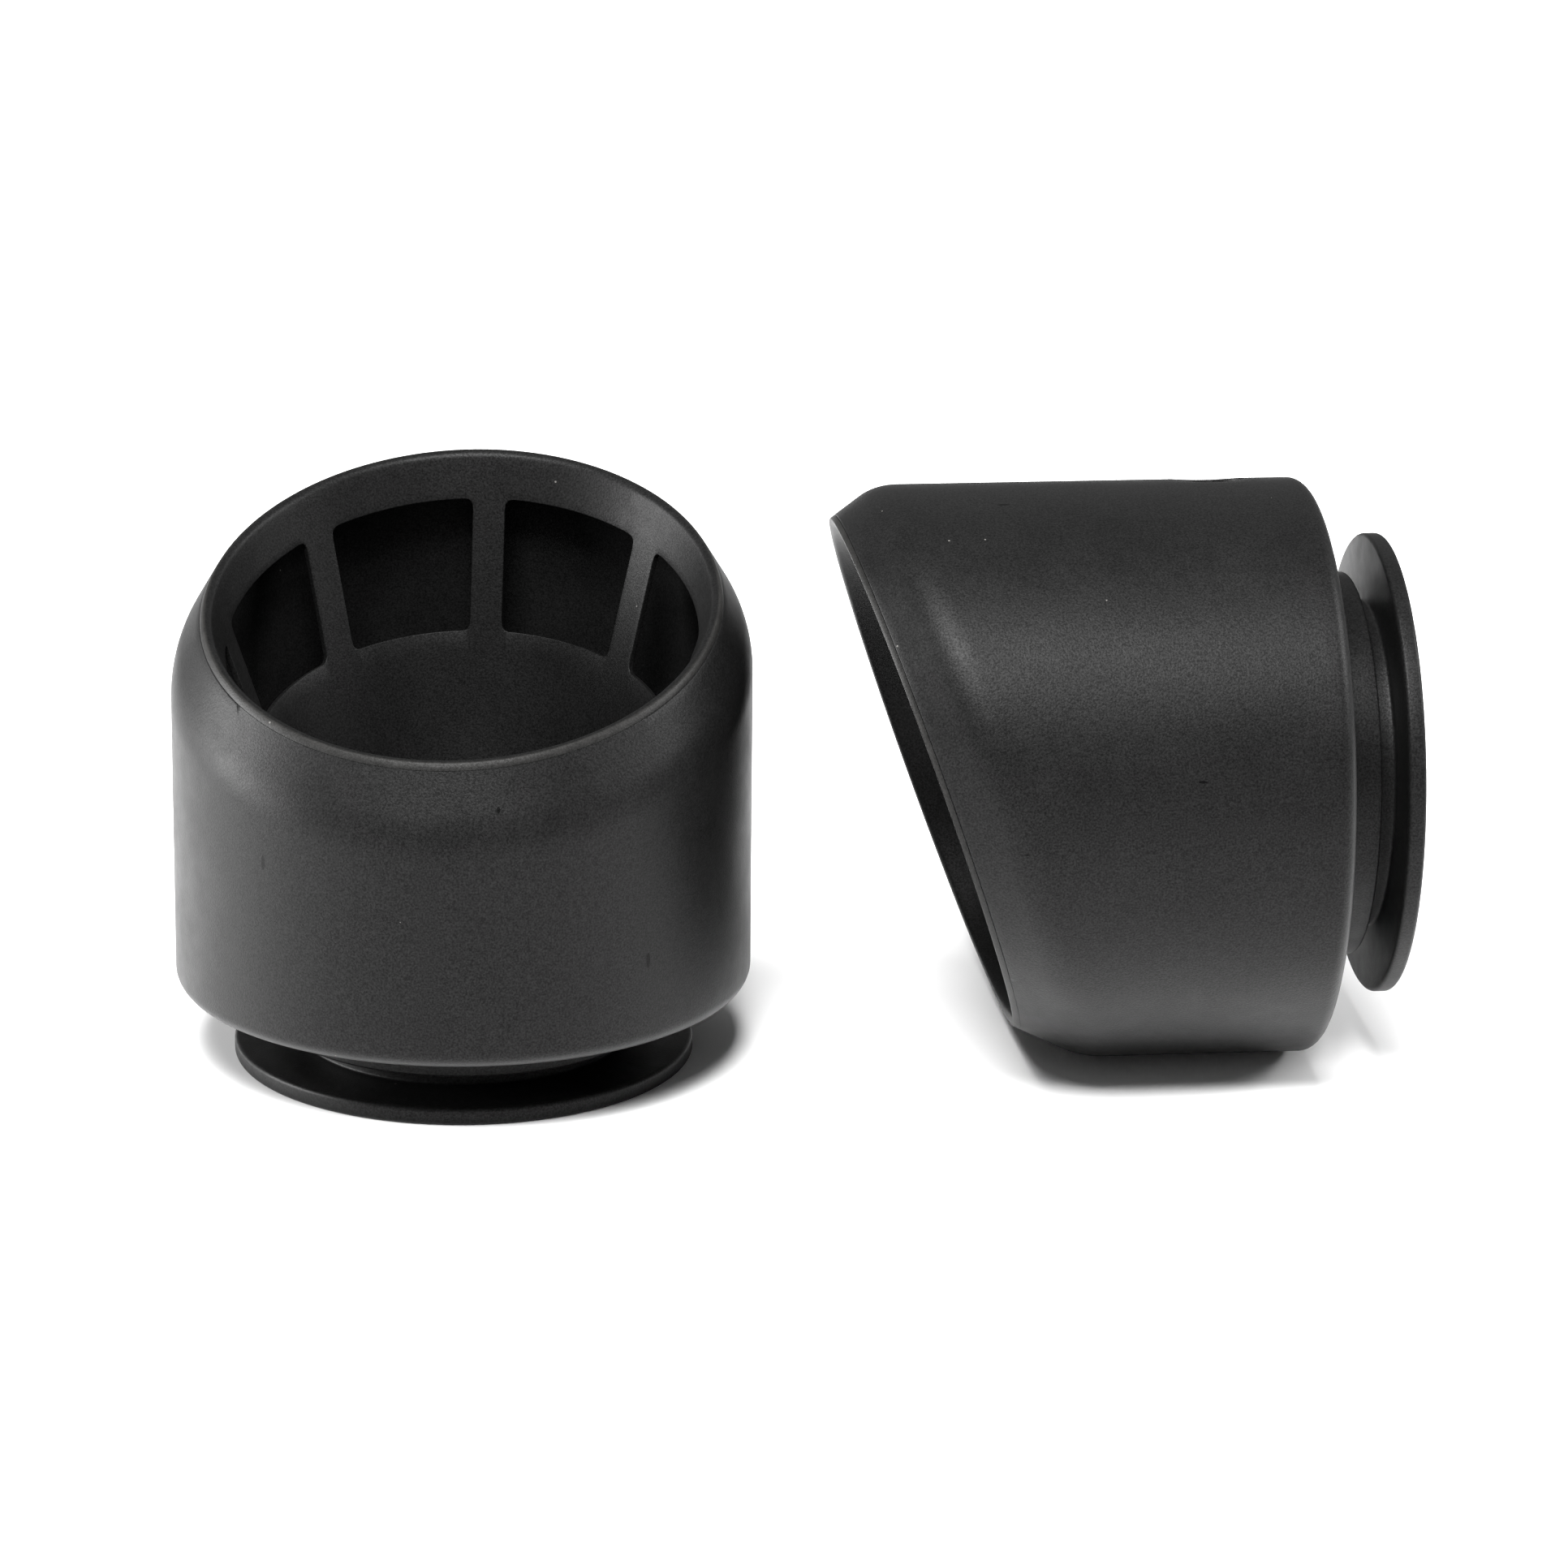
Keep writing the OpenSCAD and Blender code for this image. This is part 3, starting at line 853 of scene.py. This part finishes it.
def funnel_mesh(sizes, material):
    """The funnel: the row of windows rolled up into its front and back, and its floor and boss."""
    funnel = sizes.funnel
    form = FunnelForm(sizes)
    inputs = {"Tiles": funnel.windows, "Pitch": 2 * (1 + HALF_RIB), "Finish": material}
    row = tree_result(tile_mesh(), row_tree(), inputs)
    bm = bmesh.new()
    wear_and_sheen = bm.verts.layers.float.new("wear_and_sheen")
    sheets = []
    for back in (False, True):
        sheets.append([bm.verts.new(form.place(v.co.x, v.co.y, back)) for v in row.vertices])
    for face in row.polygons:
        bm.faces.new([sheets[0][i] for i in face.vertices])
        bm.faces.new([sheets[1][i] for i in reversed(face.vertices)])
    seen = {}
    for face in row.polygons:
        for key in face.edge_keys:
            seen[key] = seen.get(key, 0) + 1
    ends = (min(v.co.x for v in row.vertices), max(v.co.x for v in row.vertices))
    for (a, b), count in seen.items():
        one, two = row.vertices[a].co, row.vertices[b].co
        on_seam = any(abs(one.x - end) < 1e-4 and abs(two.x - end) < 1e-4 for end in ends)
        on_floor = one.y > 1.999 and two.y > 1.999
        if count == 1 and not on_seam and not on_floor:
            bm.faces.new((sheets[0][a], sheets[0][b], sheets[1][b], sheets[1][a]))
    # the lip's outer edge is marked to be painted paler, partly as wear and partly as a painted
    # highlight
    for vertex, vert in zip(row.vertices, sheets[0]):
        if -1 - LIP_RINGS - 0.5 < vertex.co.y < -1 - LIP_RINGS + 2.5:
            vert[wear_and_sheen] = 1 if vertex.co.y > -LIP_RINGS - 0.5 else 0.4

    boss_top = form.under + funnel.boss_height
    hole = sizes.base.screw_diameter / 2 + 0.02 * MM
    bend = 0.8 * MM
    rings = [(form.floor_r - bend * 0.45, form.floor + bend * 0.12),
             (form.floor_r - bend * 1.1, form.floor), (funnel.boss_radius + 0.3 * MM, form.floor),
             (funnel.boss_radius, form.floor + 0.3 * MM), (funnel.boss_radius, boss_top - 0.2 * MM),
             (funnel.boss_radius - 0.2 * MM, boss_top), (hole + 0.4 * MM, boss_top),
             (hole, boss_top - 0.4 * MM), (hole, form.under + 0.3 * MM), (hole, form.under)]
    bottom = sorted((i for i, v in enumerate(row.vertices) if v.co.y > 1.999),
                    key=lambda i: row.vertices[i].co.x)
    turns = []
    for i in bottom:
        spot = sheets[0][i].co
        turns.append(math.atan2(spot.x, spot.y))
    loops = [[sheets[0][i] for i in bottom]]
    for radius, height in rings:
        loops.append([bm.verts.new((radius * math.sin(t), radius * math.cos(t), height))
                      for t in turns])
    loops.append([sheets[1][i] for i in bottom])
    for one, two in zip(loops, loops[1:]):
        for k in range(len(turns) - 1):
            bm.faces.new((one[k], one[k + 1], two[k + 1], two[k]))
    return finish_mesh(bm, "funnel")


# ---------------------------------------------------------------- foot and screw


def foot_rings(sizes):
    """The foot's rings: the countersink, the bore, the neck and the flange."""
    base = sizes.base
    bore = base.screw_diameter / 2 + SCREW_PLAY
    head = base.screw_head / 2
    thick = base.flange_thickness
    neck_top = thick + base.groove_height
    neck = base.neck_diameter / 2
    rim = base.flange_diameter / 2 - base.flange_round
    bore_edge, neck_edge, fillet, head_edge = 0.2 * MM, 0.25 * MM, 0.3 * MM, 0.15 * MM
    points = [(head, 0), (head, base.head_sink), (bore, base.head_sink + head - bore)]
    points += line(points[-1], (bore, neck_top - bore_edge), 2) + [(bore + bore_edge, neck_top)]
    points += line(points[-1], (neck - neck_edge, neck_top), 6)
    points += line((neck - neck_edge, neck_top), (neck, neck_top - neck_edge), 1)
    points += line(points[-1], (neck, thick + fillet), 3)
    points += arc((neck + fillet, thick + fillet), fillet, 180, 270, 4)[1:]
    points += line(points[-1], (rim, thick), 5)[:-1]
    points += arc((rim, thick - base.flange_round), base.flange_round, 90, 0, 6)
    points += arc((rim, base.flange_round), base.flange_round, 0, -90, 6)
    points += line((rim, 0), (head + head_edge, 0), 8)
    return level(points + [points[0]])


def screw_rings(sizes):
    """The screw's rings, and the numbers of the socket's rings and of the thread's rings."""
    base = sizes.base
    shank = base.screw_diameter / 2
    head = base.screw_head / 2
    socket = base.socket / 2
    low = base.head_sink
    cone_top = low + head - shank
    tip = low + base.screw_length
    socket_top = low + 2 * MM
    points = [(0, socket_top + 0.5 * MM)]
    points += line(points[0], (socket, socket_top), 3)
    points += line((socket, socket_top), (socket, low + 0.15 * MM), 3)
    socket_rings = range(3, len(points))
    points += [(socket + 0.2 * MM, low)] + line((socket + 0.2 * MM, low), (head - 0.1 * MM, low), 4)
    points += [(head, low + 0.1 * MM)] + line((head, low + 0.1 * MM), (shank, cone_top), 4)
    thread_start = len(points)
    count = round((tip - cone_top - 1 * MM) / (base.thread_pitch / 8))
    points += line((shank, cone_top), (shank, tip - 0.6 * MM), count)
    thread_rings = range(thread_start, len(points))
    points += [(shank - 0.5 * MM, tip)] + line((shank - 0.5 * MM, tip), (0, tip), 2)
    return level(points), socket_rings, thread_rings


def screw_mesh(sizes, material):
    """The screw with its hexagon socket and its thread."""
    base = sizes.base
    rings, socket_rings, thread_rings = screw_rings(sizes)
    mesh = turned_mesh(rings, 72, material)
    bm = editable(mesh)
    ring_of = bm.verts.layers.int["ring"]
    depth = 0.42 * MM
    run_out = 6
    for vert in bm.verts:
        ring = vert[ring_of]
        turn = math.atan2(vert.co.y, vert.co.x)
        scale = 1
        if ring in socket_rings:
            from_flat = (turn % (math.pi / 3)) - math.pi / 6
            scale = math.cos(math.pi / 6) / math.cos(from_flat)
        elif ring in thread_rings:
            place = (vert.co.z / base.thread_pitch - turn / math.tau) % 1
            groove = max(0, 1 - abs(place - 0.5) / 0.42)
            ends = min(ring - thread_rings[0], thread_rings[-1] - ring) / run_out
            scale = 1 - depth * groove * min(1, ends) / (base.screw_diameter / 2)
        vert.co.xy = vert.co.xy * scale
    return finish_mesh(bm, "screw")


# ---------------------------------------------------------------- operators


class HOODCUPS_OT_hoods(bpy.types.Operator):
    """Make the hood of each cup: the shell with its slanted mouth, shoulder and port"""

    bl_idname = "hood_cups.hoods"
    bl_label = "Make the Hoods"

    def execute(self, context):
        sizes = context.scene.hood_cups
        material = spark_grained_charcoal("spark_grained_charcoal_abs", sizes.finishes, "body")
        rings, port_out, port_in = hood_rings(sizes)
        mesh = turned_mesh(rings, sizes.hood.segments, material)
        mesh = rounded(cut_port(mesh, sizes, port_out, port_in), HOOD_EDGE_ROUND, 50)
        place_pieces("hood_shell", "hood", mesh, material)
        return {"FINISHED"}


class HOODCUPS_OT_plates(bpy.types.Operator):
    """Make the plate of each cup, which closes the hood and has the collar under it"""

    bl_idname = "hood_cups.plates"
    bl_label = "Make the Plates"

    def execute(self, context):
        sizes = context.scene.hood_cups
        material = spark_grained_charcoal("spark_grained_plate_abs", sizes.finishes, "body")
        mesh = turned_mesh(plate_rings(sizes), sizes.hood.segments, material)
        mesh = finish_mesh(editable(mesh), "plate")
        place_pieces("collar_plate", "plate", mesh, material)
        return {"FINISHED"}


class HOODCUPS_OT_funnels(bpy.types.Operator):
    """Make the funnel of each cup: the lip, the windows between their ribs, the floor and boss"""

    bl_idname = "hood_cups.funnels"
    bl_label = "Make the Funnels"

    def execute(self, context):
        sizes = context.scene.hood_cups
        material = spark_grained_charcoal("spark_grained_funnel_abs", sizes.finishes, "funnel")
        mesh = rounded(funnel_mesh(sizes, material), sizes.funnel.edge_round, 60)
        place_pieces("funnel_insert", "funnel", mesh, material)
        return {"FINISHED"}


class HOODCUPS_OT_feet(bpy.types.Operator):
    """Make the foot of each cup: the neck and the flange that close the groove"""

    bl_idname = "hood_cups.feet"
    bl_label = "Make the Feet"

    def execute(self, context):
        sizes = context.scene.hood_cups
        material = spark_grained_charcoal("spark_grained_foot_abs", sizes.finishes, "body")
        mesh = turned_mesh(foot_rings(sizes), sizes.hood.segments, material)
        mesh = finish_mesh(editable(mesh), "foot")
        place_pieces("foot_disc", "foot", mesh, material)
        return {"FINISHED"}


class HOODCUPS_OT_screws(bpy.types.Operator):
    """Make the centre screw of each cup, with its hexagon socket and thread"""

    bl_idname = "hood_cups.screws"
    bl_label = "Make the Screws"

    def execute(self, context):
        sizes = context.scene.hood_cups
        finishes = sizes.finishes
        material = black_oxide_steel("black_oxide_steel", finishes.steel, finishes.steel_worn)
        mesh = screw_mesh(sizes, material)
        place_pieces("centre_screw", "screw", mesh, material)
        return {"FINISHED"}


def add_softbox(name, place, aim, width, height, power):
    """A rectangular softbox that faces the point it is aimed at."""
    light = bpy.data.lights.new(name, "AREA")
    light.shape = "RECTANGLE"
    light.size = width
    light.size_y = height
    light.energy = power
    box = bpy.data.objects.new(name, light)
    direction = Vector(aim) - Vector(place)
    box.matrix_world = (Matrix.Translation(place)
                        @ direction.to_track_quat("-Z", "Y").to_matrix().to_4x4())
    bpy.context.scene.collection.objects.link(box)
    return box


class HOODCUPS_OT_stage(bpy.types.Operator):
    """Set the stage: camera, pale floor, softboxes and surroundings"""

    bl_idname = "hood_cups.stage"
    bl_label = "Set the Stage"

    def execute(self, context):
        scene = context.scene
        sizes = scene.hood_cups
        studio = sizes.studio
        camera = bpy.data.objects.new("camera", bpy.data.cameras.new("camera"))
        camera.data.lens = studio.lens
        camera.data.sensor_width = 36
        camera.data.clip_start = 0.01
        camera.matrix_world = (
            Matrix.Translation(studio.camera_place)
            @ Matrix.Rotation(math.pi / 2 - studio.camera_dip, 4, "X")
            @ Matrix.Rotation(studio.camera_roll, 4, "Z"))
        scene.collection.objects.link(camera)
        scene.camera = camera
        scene.view_settings.view_transform = "Standard"

        half = 4
        floor = bpy.data.meshes.new("floor")
        floor.from_pydata([(-half, -half, 0), (half, -half, 0), (half, half, 0), (-half, half, 0)],
                          [], [(0, 1, 2, 3)])
        floor.materials.append(white_sweep("matt_white_laminate", sizes.finishes.stage))
        floor = bpy.data.objects.new("floor", floor)
        scene.collection.objects.link(floor)

        add_softbox("top_softbox", (-0.1, -0.5, 0.9), (0, 0, 0), 0.5, 0.4, studio.top_light)
        add_softbox("side_softbox", (-0.9, 0.0, 0.22), (0, 0, 0.03), 0.5, 0.4,
                    studio.side_light)
        add_softbox("right_softbox", (0.8, 0.0, 0.6), (0, 0, 0.03), 0.4, 0.4, studio.right_light)

        # the surroundings light the cups dimly, and look pale past the floor's edge
        world = bpy.data.worlds.new("surroundings")
        world.use_nodes = True
        tree = world.node_tree
        tree.nodes.clear()
        dim = add_node(tree, "ShaderNodeBackground", {"Color": (1, 1, 1, 1), "Strength": 0.25})
        pale = add_node(tree, "ShaderNodeBackground", {"Color": (1, 1, 1, 1), "Strength": 1.0})
        rays = add_node(tree, "ShaderNodeLightPath")
        both = add_node(tree, "ShaderNodeMixShader", {0: rays.outputs["Is Camera Ray"],
                                                      1: dim.outputs[0], 2: pale.outputs[0]})
        add_node(tree, "ShaderNodeOutputWorld", {0: both.outputs[0]})
        scene.world = world
        return {"FINISHED"}


class HOODCUPS_PT_panel(bpy.types.Panel):
    """Lists the steps that build the cups, and their sizes and colours"""

    bl_label = "Hood Cups"
    bl_idname = "HOODCUPS_PT_panel"
    bl_space_type = "VIEW_3D"
    bl_region_type = "UI"
    bl_category = "Hood Cups"

    def draw(self, context):
        column = self.layout.column()
        for operator in OPERATORS:
            column.operator(operator.bl_idname)
        sizes = context.scene.hood_cups
        for group in (sizes.hood, sizes.funnel, sizes.base, sizes.finishes, sizes.studio):
            box = self.layout.box()
            for name in group.__annotations__:
                box.prop(group, name)


GROUPS = (HoodSizes, FunnelSizes, BaseSizes, Finishes, Studio, HoodCups)
OPERATORS = (HOODCUPS_OT_stage, HOODCUPS_OT_hoods, HOODCUPS_OT_plates, HOODCUPS_OT_funnels,
             HOODCUPS_OT_feet, HOODCUPS_OT_screws)


def register():
    for cls in GROUPS + OPERATORS + (HOODCUPS_PT_panel,):
        bpy.utils.register_class(cls)
    bpy.types.Scene.hood_cups = PointerProperty(type=HoodCups)


def unregister():
    del bpy.types.Scene.hood_cups
    for cls in reversed(GROUPS + OPERATORS + (HOODCUPS_PT_panel,)):
        bpy.utils.unregister_class(cls)


def main():
    register()
    bpy.ops.hood_cups.stage()
    bpy.ops.hood_cups.hoods()
    bpy.ops.hood_cups.plates()
    bpy.ops.hood_cups.funnels()
    bpy.ops.hood_cups.feet()
    bpy.ops.hood_cups.screws()


if __name__ == "__main__":
    main()
